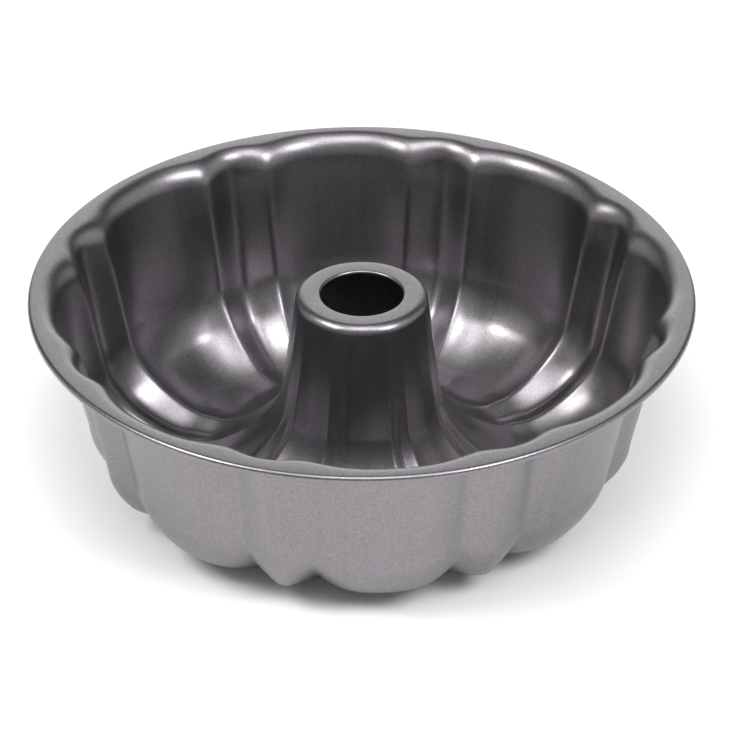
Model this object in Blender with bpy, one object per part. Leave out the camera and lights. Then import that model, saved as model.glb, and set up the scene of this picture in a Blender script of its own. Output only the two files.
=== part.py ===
"""Fluted ring cake tin (bundt pan), in metres, +Z up, standing on its lobes.

One deep-drawn steel sheet forms the centre tube, the fluted floor, the wall and the rim,
and the rim's edge is curled outwards round a steel wire. Wide and narrow lobes alternate
round the pan, and a wide lobe is centred on each of the four axes. The origin is on the
pan's axis, on the plane it stands on.
"""

from math import atan, cos, pi, radians, sin, tan

import bpy
import numpy as np

MM = 0.001

# Whole pan
RIM_RADIUS = 130.0 * MM
HEIGHT = 85.0 * MM
SHEET = 0.5 * MM

# Rolled rim: the curl's outside radius, how far it turns, and the wire inside it
CURL_RADIUS = 1.55 * MM
CURL_TURN = 240.0
WIRE_GAP = 0.3 * MM
WIRE_RADIUS = CURL_RADIUS - SHEET - WIRE_GAP

# Section through a ridge, from the rim's flat down to the floor
FLAT_EDGE_RADIUS = 119.8 * MM
RIM_REACH = 8.5 * MM
RIM_DROP = 12.0 * MM
WALL_DRAFT = 8.5
WALL_FOOT_HEIGHT = 31.5 * MM
FLOOR_RADIUS = 69.0 * MM
SEAT_WIDTH = 7.0 * MM
RIDGE_HEIGHT = 3.8 * MM
WALL_FOOT_PULL = 13.3 * MM
FLOOR_PULL_OUT = 9.5 * MM

# Section through a ridge, from the floor up the tube to its mouth
FLOOR_PULL_IN = 10.2 * MM
TUBE_FOOT_PULL = 13.0 * MM
TUBE_FOOT_HEIGHT = 34.0 * MM
TUBE_DRAFT = 8.0
TUBE_TOP = 81.4 * MM
SHOULDER_RADIUS = 26.6 * MM
SHOULDER_FILLET = 4.2 * MM
MOUTH_RADIUS = 16.3 * MM
MOUTH_ROLL = 1.0 * MM
MOUTH_COLLAR = 0.5 * MM

# Flutes: lobes stand out from the ridges by a (wide lobe, narrow lobe) depth that changes
# along the section. The direction turns from level, on the wall and tube, to straight down.
# A narrow lobe is pointed at the foot and rounder at the rim, and ridges are rounder there too.
LOBE_PAIRS = 8
WIDE_HALF_ANGLE = 15.3
WIDE_ROUNDNESS = 2.8
FOOT_CREASE = 0.24
RIM_CREASE = 1.0
CREASE_HEIGHT = 70.0 * MM
ROUNDING_HEIGHTS = (20.0 * MM, 65.0 * MM, HEIGHT)
RIDGE_ROUNDINGS = (0.75 * MM, 2.2 * MM, 6.0 * MM)
WALL_TURN_HEIGHT = 38.0 * MM
TUBE_TURN_HEIGHT = 42.0 * MM
DEPTH_SHOULDER_TOP = (0.0, 0.0)
DEPTH_SHOULDER = (0.35 * MM, 0.10 * MM)
DEPTH_TUBE = (1.0 * MM, 0.7 * MM)
DEPTH_TUBE_FOOT = (1.6 * MM, 1.2 * MM)
DEPTH_FLOOR = (RIDGE_HEIGHT - SHEET + 0.35 * MM, 3.4 * MM)
DEPTH_CORNER = (6.8 * MM, 6.6 * MM)
DEPTH_WALL_FOOT = (3.9 * MM, 4.4 * MM)
DEPTH_WALL_TOP = (6.8 * MM, 6.4 * MM)
DEPTH_RIM = (6.0 * MM, 4.1 * MM)
NO_DEPTH = (0.0, 0.0)

# How finely each stretch of the section is cut, and where each lobe pair is cut round the turn
MOUTH_CUTS = 3
SHOULDER_CUTS = 3
TUBE_CUTS = 2
TUBE_FOOT_CUTS = 2
INNER_FLOOR_CUTS = 2
SEAT_CUTS = 1
OUTER_FLOOR_CUTS = 4
WALL_FOOT_CUTS = 2
WALL_CUTS = 2
RIM_FILLET_CUTS = 4
CURL_CUTS = 8
WIRE_SIDES = 6
WIDE_CUTS = (5.5, 10.7)
NARROW_CUTS = (18.8, 22.5)


def arc(centre, radius, start, end, cuts):
    """Points of an arc in the section plane, angles in degrees."""
    turn = np.radians(np.linspace(start, end, cuts + 1))
    return np.column_stack([centre[0] + radius * np.cos(turn), centre[1] + radius * np.sin(turn)])


def straight(start, end, cuts):
    return np.linspace(start, end, cuts + 1)


def blend(start, start_pull, end_pull, end, first, last, cuts):
    """Points of a cubic curve between two pulls, from one share of its length to another."""
    t = np.linspace(first, last, cuts + 1)[:, None]
    corners = [np.array(point) for point in (start, start_pull, end_pull, end)]
    weights = ((1 - t) ** 3, 3 * t * (1 - t) ** 2, 3 * t * t * (1 - t), t**3)
    return sum(weight * corner for weight, corner in zip(weights, corners))


def stretch(points, depth_at_start, depth_at_end):
    """Rows of radius, height, wide depth and narrow depth along one stretch of the section."""
    share = np.linspace(0.0, 1.0, len(points))[:, None]
    depths = (1 - share) * np.array(depth_at_start) + share * np.array(depth_at_end)
    return np.hstack([points, depths])


def ridge_section():
    """The section through a ridge, from the tube's mouth, over the floor, to the curl's end."""
    tube_slope = radians(TUBE_DRAFT)
    shoulder = (SHOULDER_RADIUS - SHOULDER_FILLET, TUBE_TOP - SHOULDER_FILLET)
    tube_head = np.array(shoulder) + SHOULDER_FILLET * np.array([cos(tube_slope), sin(tube_slope)])
    tube_foot_radius = tube_head[0] + (tube_head[1] - TUBE_FOOT_HEIGHT) * tan(tube_slope)
    tube_foot = (tube_foot_radius, TUBE_FOOT_HEIGHT)
    tube_pull = (
        tube_foot_radius + TUBE_FOOT_PULL * sin(tube_slope),
        TUBE_FOOT_HEIGHT - TUBE_FOOT_PULL * cos(tube_slope),
    )
    seat_in = (FLOOR_RADIUS - SEAT_WIDTH / 2, RIDGE_HEIGHT)
    seat_out = (FLOOR_RADIUS + SEAT_WIDTH / 2, RIDGE_HEIGHT)
    inner_pull = (seat_in[0] - FLOOR_PULL_IN, RIDGE_HEIGHT)
    outer_pull = (seat_out[0] + FLOOR_PULL_OUT, RIDGE_HEIGHT)

    wall_slope = radians(WALL_DRAFT)
    lean = atan(tan(wall_slope) * RIM_DROP / RIM_REACH)
    turn = np.linspace(pi - lean, pi / 2, RIM_FILLET_CUTS + 1)
    fillet_radius = FLAT_EDGE_RADIUS + RIM_REACH * np.cos(turn)
    fillet = np.column_stack([fillet_radius, HEIGHT - RIM_DROP + RIM_DROP * np.sin(turn)])
    wall_head = fillet[0]
    wall_foot_radius = wall_head[0] - (wall_head[1] - WALL_FOOT_HEIGHT) * tan(wall_slope)
    wall_foot = (wall_foot_radius, WALL_FOOT_HEIGHT)
    wall_pull = (
        wall_foot_radius - WALL_FOOT_PULL * sin(wall_slope),
        WALL_FOOT_HEIGHT - WALL_FOOT_PULL * cos(wall_slope),
    )

    roll = (MOUTH_RADIUS + MOUTH_ROLL, TUBE_TOP - MOUTH_ROLL)
    collar_end = (MOUTH_RADIUS, TUBE_TOP - MOUTH_ROLL - MOUTH_COLLAR)
    curl = (RIM_RADIUS - CURL_RADIUS, HEIGHT - CURL_RADIUS)
    inner = (tube_foot, tube_pull, inner_pull, seat_in)
    outer = (seat_out, outer_pull, wall_pull, wall_foot)
    stretches = [
        stretch(straight(collar_end, (MOUTH_RADIUS, TUBE_TOP - MOUTH_ROLL), 1), NO_DEPTH, NO_DEPTH),
        stretch(arc(roll, MOUTH_ROLL, 180.0, 90.0, MOUTH_CUTS), NO_DEPTH, NO_DEPTH),
        stretch(
            arc(shoulder, SHOULDER_FILLET, 90.0, TUBE_DRAFT, SHOULDER_CUTS),
            DEPTH_SHOULDER_TOP,
            DEPTH_SHOULDER,
        ),
        stretch(straight(tube_head, tube_foot, TUBE_CUTS), DEPTH_SHOULDER, DEPTH_TUBE),
        stretch(blend(*inner, 0.0, 0.5, TUBE_FOOT_CUTS), DEPTH_TUBE, DEPTH_TUBE_FOOT),
        stretch(blend(*inner, 0.5, 1.0, INNER_FLOOR_CUTS), DEPTH_TUBE_FOOT, DEPTH_FLOOR),
        stretch(straight(seat_in, seat_out, SEAT_CUTS), DEPTH_FLOOR, DEPTH_FLOOR),
        stretch(blend(*outer, 0.0, 0.6, OUTER_FLOOR_CUTS), DEPTH_FLOOR, DEPTH_CORNER),
        stretch(blend(*outer, 0.6, 1.0, WALL_FOOT_CUTS), DEPTH_CORNER, DEPTH_WALL_FOOT),
        stretch(straight(wall_foot, wall_head, WALL_CUTS), DEPTH_WALL_FOOT, DEPTH_WALL_TOP),
        stretch(fillet, DEPTH_WALL_TOP, DEPTH_RIM),
        stretch(arc(curl, CURL_RADIUS, 90.0, 90.0 - CURL_TURN, CURL_CUTS), NO_DEPTH, NO_DEPTH),
    ]
    rows = [stretches[0]]
    for before, after in zip(stretches, stretches[1:]):
        joined = np.allclose(before[-1, :2], after[0, :2], atol=1e-9)
        rows.append(after[1:] if joined else after)
    return np.vstack(rows)


def press_directions(section):
    """Which way the lobes stand out at each row of the section, as (radial, upward)."""
    radius, height = section[:, 0], section[:, 1]
    on_tube = radius < FLOOR_RADIUS
    top = np.where(on_tube, TUBE_TURN_HEIGHT, WALL_TURN_HEIGHT)
    turned = np.clip((top - height) / (top - RIDGE_HEIGHT), 0.0, 1.0) ** 2 * pi / 2
    side = np.where(on_tube, -1.0, 1.0)
    return side * np.cos(turned), -np.sin(turned)


def turn_angles():
    """Where the surface is cut round the turn, in degrees from a wide lobe's centre."""
    pitch = 360.0 / LOBE_PAIRS
    half = [0.0, *WIDE_CUTS, WIDE_HALF_ANGLE, *NARROW_CUTS]
    pair = half + [pitch - angle for angle in reversed(half[1:-1])]
    return np.array([pitch * number + angle for number in range(LOBE_PAIRS) for angle in pair])


def lobe_shapes(angles, crease):
    """How far out the wide and narrow lobes are at each angle: 1 at the centre, 0 at a ridge."""
    pitch = 360.0 / LOBE_PAIRS
    offset = np.abs((angles + pitch / 2) % pitch - pitch / 2)
    wide = 1 - (offset / WIDE_HALF_ANGLE) ** WIDE_ROUNDNESS
    across = (pitch / 2 - offset) / (pitch / 2 - WIDE_HALF_ANGLE)
    narrow = 1 - (np.hypot(across, crease) - crease) / (np.hypot(1, crease) - crease)
    return wide, narrow


def inner_surface(angles):
    """Points of the pan's inside face, as a grid of section rows by angles."""
    section = ridge_section()
    radial, upward = press_directions(section)
    crease = np.interp(section[:, 1:2], [CREASE_HEIGHT, HEIGHT], [FOOT_CREASE, RIM_CREASE])
    wide, narrow = lobe_shapes(angles, crease)
    wide_depth = section[:, 2:3] * wide
    narrow_depth = section[:, 3:4] * narrow
    rounding = np.interp(section[:, 1:2], ROUNDING_HEIGHTS, RIDGE_ROUNDINGS)
    rounding *= np.clip(section[:, 2:3] / (4 * MM), 0.0, 1.0)
    depth = (wide_depth + narrow_depth + np.hypot(wide_depth - narrow_depth, rounding)) / 2
    depth[section[:, 2] == 0.0] = 0.0
    radius = section[:, 0:1] + radial[:, None] * depth
    height = np.maximum(section[:, 1:2] + upward[:, None] * depth, SHEET)
    turn = np.radians(angles)
    return np.stack([radius * np.sin(turn), -radius * np.cos(turn), height], axis=-1)


def outer_surface(inside):
    """The inside face moved out by the sheet's thickness, and kept on or above the ground."""
    along = np.gradient(inside, axis=0)
    around = np.roll(inside, -1, axis=1) - np.roll(inside, 1, axis=1)
    normal = np.cross(along, around)
    normal /= np.linalg.norm(normal, axis=-1, keepdims=True)
    outside = inside - SHEET * normal
    standing = inside[..., 2] <= SHEET
    outside[..., 2] = np.where(standing, 0.0, np.maximum(outside[..., 2], 0.0))
    return outside


def grid_triangles(rows, columns, mirrored):
    """Triangles over a grid that closes on itself round the turn."""
    faces = []
    for row in range(rows - 1):
        for column in range(columns):
            beside = (column + 1) % columns
            low, low_beside = row * columns + column, row * columns + beside
            high, high_beside = low + columns, low_beside + columns
            if mirrored[column]:
                faces += [(low, high_beside, low_beside), (low, high, high_beside)]
            else:
                faces += [(low, high, low_beside), (low_beside, high, high_beside)]
    return faces


def add_object(name, points, faces, material):
    mesh = bpy.data.meshes.new(name)
    mesh.from_pydata([tuple(point) for point in points], [], faces)
    mesh.materials.append(material)
    mesh.shade_smooth()
    mesh.set_sharp_from_angle(angle=radians(50.0))
    body = bpy.data.objects.new(name, mesh)
    bpy.context.scene.collection.objects.link(body)


def finish(name, colour, roughness, metallic):
    material = bpy.data.materials.new(name)
    material.use_nodes = True
    shader = material.node_tree.nodes["Principled BSDF"]
    shader.inputs["Base Color"].default_value = (*colour, 1.0)
    shader.inputs["Roughness"].default_value = roughness
    shader.inputs["Metallic"].default_value = metallic
    return material


def build_shell(material):
    """The drawn sheet: inside and outside faces, joined at the tube's mouth and the curl's end."""
    angles = turn_angles()
    columns = len(angles)
    inside = inner_surface(angles)
    outside = outer_surface(inside)
    rows = inside.shape[0]
    pitch = 360.0 / LOBE_PAIRS
    mirrored = (angles % pitch) < pitch / 2 - 1e-6
    skin = grid_triangles(rows, columns, mirrored)
    count = rows * columns
    faces = list(skin)
    faces += [(a + count, c + count, b + count) for a, b, c in skin]
    for column in range(columns):
        beside = (column + 1) % columns
        faces.append((column, beside + count, column + count))
        faces.append((column, beside, beside + count))
        last, last_beside = count - columns + column, count - columns + beside
        faces.append((last, last_beside + count, last_beside))
        faces.append((last, last + count, last_beside + count))
    add_object("pan_shell", np.vstack([inside.reshape(-1, 3), outside.reshape(-1, 3)]), faces, material)


def build_wire(material):
    """The round wire that the rim is curled over."""
    turn = np.radians(turn_angles())
    side = np.arange(WIRE_SIDES) * 2 * pi / WIRE_SIDES
    radius = RIM_RADIUS - CURL_RADIUS + WIRE_RADIUS * np.cos(side)[:, None]
    height = HEIGHT - CURL_RADIUS + WIRE_RADIUS * np.sin(side)[:, None]
    points = np.stack([radius * np.sin(turn), -radius * np.cos(turn), height + 0 * turn], axis=-1)
    columns = len(turn)
    faces = []
    for edge in range(WIRE_SIDES):
        above = (edge + 1) % WIRE_SIDES
        for column in range(columns):
            beside = (column + 1) % columns
            faces.append((edge * columns + column, edge * columns + beside, above * columns + beside))
            faces.append((edge * columns + column, above * columns + beside, above * columns + column))
    add_object("rim_wire", points.reshape(-1, 3), faces, material)


for leftover in list(bpy.data.objects):
    bpy.data.objects.remove(leftover, do_unlink=True)

coating = finish("nonstick_coating", (0.11, 0.11, 0.115), 0.36, 0.75)
steel = finish("bright_steel_wire", (0.55, 0.55, 0.56), 0.35, 1.0)
build_shell(coating)
build_wire(steel)
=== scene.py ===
"""Looks of the fluted ring cake tin: its drawn sheet, non-stick coating, rim wire and studio."""

from math import atan, cos, pi, radians, sin, tan

import bpy
import numpy as np
from mathutils import Matrix, Vector


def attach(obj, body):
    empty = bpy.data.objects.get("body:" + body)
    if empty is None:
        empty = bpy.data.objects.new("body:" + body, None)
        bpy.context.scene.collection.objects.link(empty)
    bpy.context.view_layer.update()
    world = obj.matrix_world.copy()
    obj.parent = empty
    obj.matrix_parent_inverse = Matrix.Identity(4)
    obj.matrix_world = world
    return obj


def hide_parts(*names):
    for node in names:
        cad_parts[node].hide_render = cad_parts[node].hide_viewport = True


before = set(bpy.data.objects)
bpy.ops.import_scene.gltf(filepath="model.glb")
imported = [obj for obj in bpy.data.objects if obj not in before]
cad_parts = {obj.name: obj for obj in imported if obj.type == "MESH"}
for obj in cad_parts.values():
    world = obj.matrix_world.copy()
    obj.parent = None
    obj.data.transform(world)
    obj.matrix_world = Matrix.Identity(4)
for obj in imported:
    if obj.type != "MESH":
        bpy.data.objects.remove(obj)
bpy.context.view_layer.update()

MM = 0.001

# Whole pan
RIM_RADIUS = 130.0 * MM
HEIGHT = 85.0 * MM
SHEET = 0.5 * MM

# Rolled rim: the curl's outside radius, how far it turns, and the wire inside it
CURL_RADIUS = 1.55 * MM
CURL_TURN = 240.0
WIRE_GAP = 0.3 * MM
WIRE_RADIUS = CURL_RADIUS - SHEET - WIRE_GAP

# Section through a ridge, from the rim's flat down to the floor
FLAT_EDGE_RADIUS = 119.8 * MM
RIM_REACH = 8.5 * MM
RIM_DROP = 12.0 * MM
WALL_DRAFT = 8.5
WALL_FOOT_HEIGHT = 31.5 * MM
FLOOR_RADIUS = 69.0 * MM
SEAT_WIDTH = 7.0 * MM
RIDGE_HEIGHT = 3.8 * MM
WALL_FOOT_PULL = 13.3 * MM
FLOOR_PULL_OUT = 9.5 * MM

# Section through a ridge, from the floor up the tube to its mouth
FLOOR_PULL_IN = 10.2 * MM
TUBE_FOOT_PULL = 13.0 * MM
TUBE_FOOT_HEIGHT = 34.0 * MM
TUBE_DRAFT = 8.0
TUBE_TOP = 81.4 * MM
SHOULDER_RADIUS = 26.6 * MM
SHOULDER_FILLET = 4.2 * MM
MOUTH_RADIUS = 16.3 * MM
MOUTH_ROLL = 1.0 * MM
MOUTH_COLLAR = 0.5 * MM

# Flutes: lobes stand out from the ridges by a (wide lobe, narrow lobe) depth that changes
# along the section. The direction turns from level, on the wall and tube, to straight down.
# A narrow lobe is pointed at the foot and rounder at the rim, and ridges are rounder there too.
LOBE_PAIRS = 8
WIDE_HALF_ANGLE = 15.3
WIDE_ROUNDNESS = 2.8
FOOT_CREASE = 0.24
RIM_CREASE = 1.0
CREASE_HEIGHT = 70.0 * MM
FULL_ROUNDING_DEPTH = 4.0 * MM
ROUNDING_HEIGHTS = (20.0 * MM, 65.0 * MM, HEIGHT)
RIDGE_ROUNDINGS = (0.75 * MM, 2.2 * MM, 6.0 * MM)
WALL_TURN_HEIGHT = 38.0 * MM
TUBE_TURN_HEIGHT = 42.0 * MM
DEPTH_SHOULDER_TOP = (0.0, 0.0)
DEPTH_SHOULDER = (0.35 * MM, 0.10 * MM)
DEPTH_TUBE = (1.0 * MM, 0.7 * MM)
DEPTH_TUBE_FOOT = (1.6 * MM, 1.2 * MM)
DEPTH_FLOOR = (RIDGE_HEIGHT - SHEET + 0.35 * MM, 3.4 * MM)
DEPTH_CORNER = (6.8 * MM, 6.6 * MM)
DEPTH_WALL_FOOT = (3.9 * MM, 4.4 * MM)
DEPTH_WALL_TOP = (6.8 * MM, 6.4 * MM)
DEPTH_RIM = (6.0 * MM, 4.1 * MM)
NO_DEPTH = (0.0, 0.0)

# How finely each stretch of the section is cut, and the whole turn
MOUTH_CUTS = 8
SHOULDER_CUTS = 12
TUBE_CUTS = 12
TUBE_FOOT_CUTS = 12
INNER_FLOOR_CUTS = 10
SEAT_CUTS = 4
OUTER_FLOOR_CUTS = 14
WALL_FOOT_CUTS = 10
WALL_CUTS = 12
RIM_FILLET_CUTS = 12
CURL_CUTS = 24
WIRE_SIDES = 16
TURN_CUTS = 576

# Camera, aimed at a point beside the pan's axis
CAMERA_AZIMUTH = -5.39
CAMERA_ELEVATION = 33.278
CAMERA_DISTANCE = 1.15527
CAMERA_ROLL = 0.11
CAMERA_LENS = 142.877
AIM_RIGHT = 1.681 * MM
AIM_HEIGHT = 47.204 * MM

# Soft boxes: bearing from the camera's side (positive to the right), elevation, distance,
# (width, height), power in watts and colour
SOFT_BOXES = {
    "key_left": (-67.0, 50.0, 1.6, (0.60, 0.60), 15.6, (1.0, 0.99, 0.97)),
    "key_right": (50.0, 47.0, 1.6, (0.60, 0.60), 14.6, (0.99, 0.985, 1.0)),
    "top": (0.0, 68.0, 1.6, (0.60, 0.95), 9.0, (1.0, 1.0, 1.0)),
}

# Soft glows of the studio's white walls and ceiling: bearing and elevation of the middle,
# angles from it where the glow starts and ends to fade, and brightness
STUDIO_GLOWS = [
    (180.0, 15.0, 8.0, 39.0, 1.75),
    (0.0, 78.0, 8.0, 42.0, 0.9),
    (-90.0, 5.0, 10.0, 50.0, 0.6),
    (90.0, 5.0, 10.0, 50.0, 0.8),
    (0.0, 5.0, 10.0, 50.0, 0.36),
]
STUDIO_GREY = 0.05
TABLE_REACH = 6.0

# Non-stick coating: metallic grey, with flakes, grain and clouds per metre, and draw streaks
# counted round the turn and along the section
COATING_GREY = (0.218, 0.208, 0.221)
COATING_ROUGHNESS = 0.335
FLAKE_SCALE = 2600.0
GRAIN_SCALE = 1700.0
CLOUD_SCALE = 28.0
STREAK_SCALE = (90.0, 9.0, 1.0)
COATING_RELIEF = 0.06 * MM
COATING_RELIEF_STRENGTH = 0.16

# Steel wire: its grey, lines drawn along it, and clouds of dull oxide per metre
WIRE_GREY = 0.5
WIRE_LINE_SCALE = (8.0, 9000.0, 1.0)
WIRE_BLOOM_SCALE = 220.0
WIRE_RELIEF = 0.01 * MM
WIRE_RELIEF_STRENGTH = 0.3


def arc(centre, radius, start, end, cuts):
    """Points of an arc in the section plane, angles in degrees."""
    turn = np.radians(np.linspace(start, end, cuts + 1))
    return np.column_stack([centre[0] + radius * np.cos(turn), centre[1] + radius * np.sin(turn)])


def straight(start, end, cuts):
    return np.linspace(start, end, cuts + 1)


def blend(start, start_pull, end_pull, end, first, last, cuts):
    """Points of a cubic curve between two pulls, from one share of its length to another."""
    t = np.linspace(first, last, cuts + 1)[:, None]
    corners = [np.array(point) for point in (start, start_pull, end_pull, end)]
    weights = ((1 - t) ** 3, 3 * t * (1 - t) ** 2, 3 * t * t * (1 - t), t**3)
    return sum(weight * corner for weight, corner in zip(weights, corners))


def stretch(points, depth_at_start, depth_at_end):
    """Rows of radius, height, wide depth and narrow depth along one stretch of the section."""
    share = np.linspace(0.0, 1.0, len(points))[:, None]
    depths = (1 - share) * np.array(depth_at_start) + share * np.array(depth_at_end)
    return np.hstack([points, depths])


def ridge_section():
    """The section through a ridge, from the tube's mouth, over the floor, to the curl's end."""
    tube_slope = radians(TUBE_DRAFT)
    shoulder = (SHOULDER_RADIUS - SHOULDER_FILLET, TUBE_TOP - SHOULDER_FILLET)
    tube_head = np.array(shoulder) + SHOULDER_FILLET * np.array([cos(tube_slope), sin(tube_slope)])
    tube_foot_radius = tube_head[0] + (tube_head[1] - TUBE_FOOT_HEIGHT) * tan(tube_slope)
    tube_foot = (tube_foot_radius, TUBE_FOOT_HEIGHT)
    tube_pull = (
        tube_foot_radius + TUBE_FOOT_PULL * sin(tube_slope),
        TUBE_FOOT_HEIGHT - TUBE_FOOT_PULL * cos(tube_slope),
    )
    seat_in = (FLOOR_RADIUS - SEAT_WIDTH / 2, RIDGE_HEIGHT)
    seat_out = (FLOOR_RADIUS + SEAT_WIDTH / 2, RIDGE_HEIGHT)
    inner_pull = (seat_in[0] - FLOOR_PULL_IN, RIDGE_HEIGHT)
    outer_pull = (seat_out[0] + FLOOR_PULL_OUT, RIDGE_HEIGHT)

    wall_slope = radians(WALL_DRAFT)
    lean = atan(tan(wall_slope) * RIM_DROP / RIM_REACH)
    turn = np.linspace(pi - lean, pi / 2, RIM_FILLET_CUTS + 1)
    fillet_radius = FLAT_EDGE_RADIUS + RIM_REACH * np.cos(turn)
    fillet = np.column_stack([fillet_radius, HEIGHT - RIM_DROP + RIM_DROP * np.sin(turn)])
    wall_head = fillet[0]
    wall_foot_radius = wall_head[0] - (wall_head[1] - WALL_FOOT_HEIGHT) * tan(wall_slope)
    wall_foot = (wall_foot_radius, WALL_FOOT_HEIGHT)
    wall_pull = (
        wall_foot_radius - WALL_FOOT_PULL * sin(wall_slope),
        WALL_FOOT_HEIGHT - WALL_FOOT_PULL * cos(wall_slope),
    )

    roll = (MOUTH_RADIUS + MOUTH_ROLL, TUBE_TOP - MOUTH_ROLL)
    collar_end = (MOUTH_RADIUS, TUBE_TOP - MOUTH_ROLL - MOUTH_COLLAR)
    curl = (RIM_RADIUS - CURL_RADIUS, HEIGHT - CURL_RADIUS)
    inner = (tube_foot, tube_pull, inner_pull, seat_in)
    outer = (seat_out, outer_pull, wall_pull, wall_foot)
    stretches = [
        stretch(straight(collar_end, (MOUTH_RADIUS, TUBE_TOP - MOUTH_ROLL), 1), NO_DEPTH, NO_DEPTH),
        stretch(arc(roll, MOUTH_ROLL, 180.0, 90.0, MOUTH_CUTS), NO_DEPTH, NO_DEPTH),
        stretch(
            arc(shoulder, SHOULDER_FILLET, 90.0, TUBE_DRAFT, SHOULDER_CUTS),
            DEPTH_SHOULDER_TOP,
            DEPTH_SHOULDER,
        ),
        stretch(straight(tube_head, tube_foot, TUBE_CUTS), DEPTH_SHOULDER, DEPTH_TUBE),
        stretch(blend(*inner, 0.0, 0.5, TUBE_FOOT_CUTS), DEPTH_TUBE, DEPTH_TUBE_FOOT),
        stretch(blend(*inner, 0.5, 1.0, INNER_FLOOR_CUTS), DEPTH_TUBE_FOOT, DEPTH_FLOOR),
        stretch(straight(seat_in, seat_out, SEAT_CUTS), DEPTH_FLOOR, DEPTH_FLOOR),
        stretch(blend(*outer, 0.0, 0.6, OUTER_FLOOR_CUTS), DEPTH_FLOOR, DEPTH_CORNER),
        stretch(blend(*outer, 0.6, 1.0, WALL_FOOT_CUTS), DEPTH_CORNER, DEPTH_WALL_FOOT),
        stretch(straight(wall_foot, wall_head, WALL_CUTS), DEPTH_WALL_FOOT, DEPTH_WALL_TOP),
        stretch(fillet, DEPTH_WALL_TOP, DEPTH_RIM),
        stretch(arc(curl, CURL_RADIUS, 90.0, 90.0 - CURL_TURN, CURL_CUTS), NO_DEPTH, NO_DEPTH),
    ]
    rows = [stretches[0]]
    for before, after in zip(stretches, stretches[1:]):
        joined = np.allclose(before[-1, :2], after[0, :2], atol=1e-9)
        rows.append(after[1:] if joined else after)
    return np.vstack(rows)


def press_directions(section):
    """Which way the lobes stand out at each row of the section, as (radial, upward)."""
    radius, height = section[:, 0], section[:, 1]
    on_tube = radius < FLOOR_RADIUS
    top = np.where(on_tube, TUBE_TURN_HEIGHT, WALL_TURN_HEIGHT)
    turned = np.clip((top - height) / (top - RIDGE_HEIGHT), 0.0, 1.0) ** 2 * pi / 2
    side = np.where(on_tube, -1.0, 1.0)
    return side * np.cos(turned), -np.sin(turned)


def lobe_shapes(angles, crease):
    """How far out the wide and narrow lobes are at each angle: 1 at the centre, 0 at a ridge."""
    pitch = 360.0 / LOBE_PAIRS
    offset = np.abs((angles + pitch / 2) % pitch - pitch / 2)
    wide = 1 - (offset / WIDE_HALF_ANGLE) ** WIDE_ROUNDNESS
    across = (pitch / 2 - offset) / (pitch / 2 - WIDE_HALF_ANGLE)
    narrow = 1 - (np.hypot(across, crease) - crease) / (np.hypot(1, crease) - crease)
    return wide, narrow


def inner_surface(angles):
    """Points of the pan's inside face, as a grid of section rows by angles."""
    section = ridge_section()
    radial, upward = press_directions(section)
    crease = np.interp(section[:, 1:2], [CREASE_HEIGHT, HEIGHT], [FOOT_CREASE, RIM_CREASE])
    wide, narrow = lobe_shapes(angles, crease)
    wide_depth = section[:, 2:3] * wide
    narrow_depth = section[:, 3:4] * narrow
    rounding = np.interp(section[:, 1:2], ROUNDING_HEIGHTS, RIDGE_ROUNDINGS)
    rounding *= np.clip(section[:, 2:3] / FULL_ROUNDING_DEPTH, 0.0, 1.0)
    depth = (wide_depth + narrow_depth + np.hypot(wide_depth - narrow_depth, rounding)) / 2
    depth[section[:, 2] == 0.0] = 0.0
    radius = section[:, 0:1] + radial[:, None] * depth
    height = np.maximum(section[:, 1:2] + upward[:, None] * depth, SHEET)
    turn = np.radians(angles)
    return np.stack([radius * np.sin(turn), -radius * np.cos(turn), height], axis=-1)


def outer_surface(inside):
    """The inside face moved out by the sheet's thickness, and kept on or above the ground."""
    along = np.gradient(inside, axis=0)
    around = np.roll(inside, -1, axis=1) - np.roll(inside, 1, axis=1)
    normal = np.cross(along, around)
    normal /= np.linalg.norm(normal, axis=-1, keepdims=True)
    outside = inside - SHEET * normal
    standing = inside[..., 2] <= SHEET
    outside[..., 2] = np.where(standing, 0.0, np.maximum(outside[..., 2], 0.0))
    return outside


def ring_faces(rows, columns, first=0, inward=False):
    """Quads over a grid that closes on itself round the turn."""
    faces = []
    for row in range(rows - 1):
        for column in range(columns):
            low = first + row * columns + column
            low_beside = first + row * columns + (column + 1) % columns
            quad = (low, low + columns, low_beside + columns, low_beside)
            faces.append(quad[::-1] if inward else quad)
    return faces


def add_object(name, points, faces, flow, material):
    """A smooth mesh that carries, at each point, how far round and along the sheet it is."""
    mesh = bpy.data.meshes.new(name)
    mesh.from_pydata(points.tolist(), [], faces)
    mesh.shade_smooth()
    mesh.set_sharp_from_angle(angle=radians(60.0))
    layer = mesh.attributes.new("flow", "FLOAT_VECTOR", "POINT")
    layer.data.foreach_set("vector", flow.astype(np.float32).ravel())
    mesh.materials.append(material)
    body = bpy.data.objects.new(name, mesh)
    bpy.context.scene.collection.objects.link(body)
    return body


def build_shell(material):
    """The drawn sheet: inside and outside faces, joined at the tube's mouth and the curl's end."""
    angles = np.arange(TURN_CUTS) * 360.0 / TURN_CUTS
    inside = inner_surface(angles)
    outside = outer_surface(inside)
    rows, columns = inside.shape[:2]
    count = rows * columns
    faces = ring_faces(rows, columns)
    faces += ring_faces(rows, columns, count, inward=True)
    for column in range(columns):
        beside = (column + 1) % columns
        last, last_beside = count - columns + column, count - columns + beside
        faces.append((column, beside, beside + count, column + count))
        faces.append((last_beside, last, last + count, last_beside + count))
    step = np.linalg.norm(np.diff(inside[:, 0], axis=0), axis=-1)
    along = np.concatenate([[0.0], np.cumsum(step)])
    flow = np.zeros((2, rows, columns, 3))
    flow[..., 0] = np.radians(angles)
    flow[..., 1] = along[:, None]
    flow[1, ..., 2] = SHEET
    points = np.concatenate([inside.reshape(-1, 3), outside.reshape(-1, 3)])
    return add_object("coated_pan", points, faces, flow.reshape(-1, 3), material)


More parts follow.
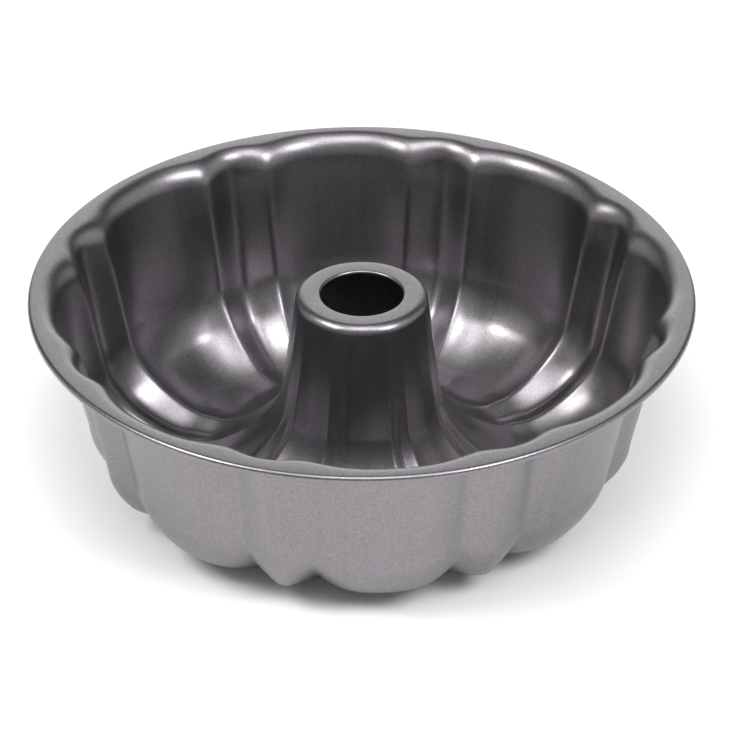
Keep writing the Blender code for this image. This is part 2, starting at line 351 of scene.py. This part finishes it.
def build_wire(material):
    """The round wire that the rim is curled over."""
    turn = np.arange(TURN_CUTS) * 2 * pi / TURN_CUTS
    side = np.arange(WIRE_SIDES + 1)[::-1] * 2 * pi / WIRE_SIDES
    radius = RIM_RADIUS - CURL_RADIUS + WIRE_RADIUS * np.cos(side)[:, None]
    height = HEIGHT - CURL_RADIUS + WIRE_RADIUS * np.sin(side)[:, None]
    points = np.stack([radius * np.sin(turn), -radius * np.cos(turn), height + 0 * turn], axis=-1)
    flow = np.zeros(points.shape)
    flow[..., 0] = turn
    flow[..., 1] = side[:, None] * WIRE_RADIUS
    columns = len(turn)
    closing = WIRE_SIDES * columns
    faces = []
    for quad in ring_faces(WIRE_SIDES + 1, columns):
        faces.append(tuple(corner % closing for corner in quad))
    return add_object(
        "rolled_in_wire", points[:-1].reshape(-1, 3), faces, flow[:-1].reshape(-1, 3), material
    )


def feed(tree, socket, value):
    """Links another node's output to a socket, or sets the socket to a plain value."""
    if isinstance(value, bpy.types.NodeSocket):
        tree.links.new(value, socket)
    else:
        socket.default_value = value


class Nodes:
    """Short calls for adding linked shader nodes to one material."""

    def __init__(self, name):
        self.material = bpy.data.materials.new(name)
        self.material.use_nodes = True
        self.tree = self.material.node_tree
        self.shader = self.tree.nodes["Principled BSDF"]

    def add(self, kind, inputs=None, **settings):
        node = self.tree.nodes.new(kind)
        for name, value in settings.items():
            setattr(node, name, value)
        for name, value in (inputs or {}).items():
            self.set(node.inputs[name], value)
        return node

    def set(self, socket, value):
        feed(self.tree, socket, value)

    def maths(self, operation, *values):
        node = self.add("ShaderNodeMath", operation=operation)
        for socket, value in zip(node.inputs, values):
            self.set(socket, value)
        return node.outputs["Value"]

    def ramp(self, value, from_low, from_high, to_low, to_high):
        inputs = {
            "Value": value,
            "From Min": from_low,
            "From Max": from_high,
            "To Min": to_low,
            "To Max": to_high,
        }
        return self.add("ShaderNodeMapRange", inputs).outputs["Result"]

    def noise(self, vector, scale, detail=2.0, roughness=0.5):
        inputs = {"Vector": vector, "Scale": scale, "Detail": detail, "Roughness": roughness}
        return self.add("ShaderNodeTexNoise", inputs).outputs["Fac"]


def coating_material():
    """Dark grey metallic non-stick coating: fine flakes and grain, draw streaks, faint clouds."""
    nodes = Nodes("nonstick_coating")
    place = nodes.add("ShaderNodeTexCoord").outputs["Object"]
    flow = nodes.add("ShaderNodeAttribute", attribute_name="flow").outputs["Vector"]

    flake = nodes.add("ShaderNodeTexVoronoi", {"Vector": place, "Scale": FLAKE_SCALE})
    flake_grey = nodes.add("ShaderNodeSeparateColor", {"Color": flake.outputs["Color"]})
    flake_share = flake_grey.outputs["Red"]
    grain = nodes.noise(place, GRAIN_SCALE, detail=3.0, roughness=0.6)
    cloud = nodes.noise(place, CLOUD_SCALE, detail=4.0)

    streak_place = nodes.add("ShaderNodeMapping", {"Vector": flow, "Scale": STREAK_SCALE})
    streak = nodes.noise(streak_place.outputs["Vector"], 1.0, detail=3.0)

    tone = nodes.maths("ADD", nodes.ramp(flake_share, 0.0, 1.0, -0.16, 0.16), 1.0)
    tone = nodes.maths("MULTIPLY", tone, nodes.ramp(grain, 0.3, 0.7, 0.93, 1.07))
    tone = nodes.maths("MULTIPLY", tone, nodes.ramp(cloud, 0.3, 0.7, 0.97, 1.03))
    tone = nodes.maths("MULTIPLY", tone, nodes.ramp(streak, 0.3, 0.7, 0.97, 1.03))
    base = nodes.add("ShaderNodeCombineColor")
    for channel, grey in zip(("Red", "Green", "Blue"), COATING_GREY):
        nodes.set(base.inputs[channel], nodes.maths("MULTIPLY", tone, grey))

    rough = nodes.maths("ADD", nodes.ramp(cloud, 0.3, 0.7, -0.02, 0.02), COATING_ROUGHNESS)
    rough = nodes.maths("ADD", rough, nodes.ramp(streak, 0.3, 0.7, -0.015, 0.015))
    height = nodes.maths("ADD", nodes.maths("MULTIPLY", flake_share, 0.5), grain)
    relief = {"Height": height, "Strength": COATING_RELIEF_STRENGTH, "Distance": COATING_RELIEF}
    bump = nodes.add("ShaderNodeBump", relief)

    nodes.set(nodes.shader.inputs["Base Color"], base.outputs["Color"])
    nodes.set(nodes.shader.inputs["Roughness"], rough)
    nodes.set(nodes.shader.inputs["Normal"], bump.outputs["Normal"])
    nodes.set(nodes.shader.inputs["Metallic"], 1.0)
    return nodes.material


def wire_material():
    """Bare drawn steel wire: light grey, with fine lines along it and a dull oxide bloom."""
    nodes = Nodes("drawn_steel_wire")
    flow = nodes.add("ShaderNodeAttribute", attribute_name="flow").outputs["Vector"]
    place = nodes.add("ShaderNodeMapping", {"Vector": flow, "Scale": WIRE_LINE_SCALE})
    line = nodes.noise(place.outputs["Vector"], 1.0, detail=3.0)
    rest_place = nodes.add("ShaderNodeTexCoord").outputs["Object"]
    bloom = nodes.noise(rest_place, WIRE_BLOOM_SCALE, detail=3.0)
    tone = nodes.maths("MULTIPLY", nodes.ramp(line, 0.3, 0.7, 0.85, 1.1), WIRE_GREY)
    tone = nodes.maths("MULTIPLY", tone, nodes.ramp(bloom, 0.35, 0.7, 1.0, 0.75))
    base = nodes.add("ShaderNodeCombineColor", {"Red": tone, "Green": tone, "Blue": tone})
    relief = {"Height": line, "Strength": WIRE_RELIEF_STRENGTH, "Distance": WIRE_RELIEF}
    bump = nodes.add("ShaderNodeBump", relief)
    nodes.set(nodes.shader.inputs["Base Color"], base.outputs["Color"])
    nodes.set(nodes.shader.inputs["Roughness"], nodes.ramp(bloom, 0.3, 0.7, 0.28, 0.45))
    nodes.set(nodes.shader.inputs["Normal"], bump.outputs["Normal"])
    nodes.set(nodes.shader.inputs["Metallic"], 1.0)
    return nodes.material


def floor_material():
    """A pale, matt table with very faint clouds."""
    nodes = Nodes("pale_table")
    place = nodes.add("ShaderNodeTexCoord").outputs["Object"]
    cloud = nodes.noise(place, 6.0, detail=2.0)
    tone = nodes.ramp(cloud, 0.3, 0.7, 0.92, 0.94)
    base = nodes.add("ShaderNodeCombineColor", {"Red": tone, "Green": tone, "Blue": tone})
    nodes.set(nodes.shader.inputs["Base Color"], base.outputs["Color"])
    nodes.set(nodes.shader.inputs["Roughness"], 0.85)
    return nodes.material


def direction(azimuth, elevation):
    """Unit vector from the pan towards a bearing, where 0 degrees is -Y and 90 is +X."""
    a, e = radians(azimuth), radians(elevation)
    return Vector((sin(a) * cos(e), -cos(a) * cos(e), sin(e)))


def build_floor(material):
    sides = ((-1, -1), (1, -1), (1, 1), (-1, 1))
    corners = [(x * TABLE_REACH, y * TABLE_REACH, 0.0) for x, y in sides]
    mesh = bpy.data.meshes.new("table_top")
    mesh.from_pydata(corners, [], [(0, 1, 2, 3)])
    mesh.materials.append(material)
    floor = bpy.data.objects.new("table_top", mesh)
    bpy.context.scene.collection.objects.link(floor)


def build_lights():
    target = Vector((0.0, 0.0, HEIGHT / 2))
    for name, (bearing, elevation, distance, size, power, colour) in SOFT_BOXES.items():
        light = bpy.data.lights.new(name, "AREA")
        light.shape = "RECTANGLE"
        light.size, light.size_y = size
        light.energy = power
        light.color = colour
        lamp = bpy.data.objects.new(name, light)
        outward = direction(CAMERA_AZIMUTH + bearing, elevation)
        lamp.location = target + outward * distance
        lamp.rotation_euler = outward.to_track_quat("Z", "Y").to_euler()
        lamp.visible_camera = False
        bpy.context.scene.collection.objects.link(lamp)


def build_world():
    """A dim studio with soft glows from its white backdrop, walls and ceiling."""
    world = bpy.data.worlds.new("studio")
    bpy.context.scene.world = world
    world.use_nodes = True
    tree = world.node_tree
    place = tree.nodes.new("ShaderNodeTexCoord")
    total = STUDIO_GREY
    for bearing, elevation, inner, outer, brightness in STUDIO_GLOWS:
        along = tree.nodes.new("ShaderNodeVectorMath")
        along.operation = "DOT_PRODUCT"
        along.inputs[1].default_value = direction(CAMERA_AZIMUTH + bearing, elevation)
        tree.links.new(place.outputs["Generated"], along.inputs[0])
        glow = tree.nodes.new("ShaderNodeMapRange")
        glow.interpolation_type = "SMOOTHSTEP"
        glow.inputs["From Min"].default_value = cos(radians(outer))
        glow.inputs["From Max"].default_value = cos(radians(inner))
        glow.inputs["To Max"].default_value = brightness
        tree.links.new(along.outputs["Value"], glow.inputs["Value"])
        added = tree.nodes.new("ShaderNodeMath")
        tree.links.new(glow.outputs["Result"], added.inputs[0])
        feed(tree, added.inputs[1], total)
        total = added.outputs["Value"]
    tree.links.new(total, tree.nodes["Background"].inputs["Color"])


def build_camera():
    """The camera, level but for a slight roll, looking down at the pan."""
    data = bpy.data.cameras.new("photo_camera")
    data.sensor_width = 36.0
    data.lens = CAMERA_LENS
    data.clip_start = 0.05
    data.clip_end = 50.0
    camera = bpy.data.objects.new("photo_camera", data)
    back = direction(CAMERA_AZIMUTH, CAMERA_ELEVATION)
    right = direction(CAMERA_AZIMUTH + 90.0, 0.0)
    aim = right * AIM_RIGHT + Vector((0.0, 0.0, AIM_HEIGHT))
    level = back.to_track_quat("Z", "Y").to_matrix()
    roll = Matrix.Rotation(radians(CAMERA_ROLL), 3, "Z")
    camera.matrix_world = Matrix.Translation(aim + back * CAMERA_DISTANCE) @ (level @ roll).to_4x4()
    bpy.context.scene.collection.objects.link(camera)
    bpy.context.scene.camera = camera


pan = build_shell(coating_material())
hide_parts("pan_shell")
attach(pan, "root")

wire = build_wire(wire_material())
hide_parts("rim_wire")
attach(wire, "root")

build_floor(floor_material())
build_lights()
build_world()
build_camera()
bpy.context.scene.view_settings.view_transform = "Standard"
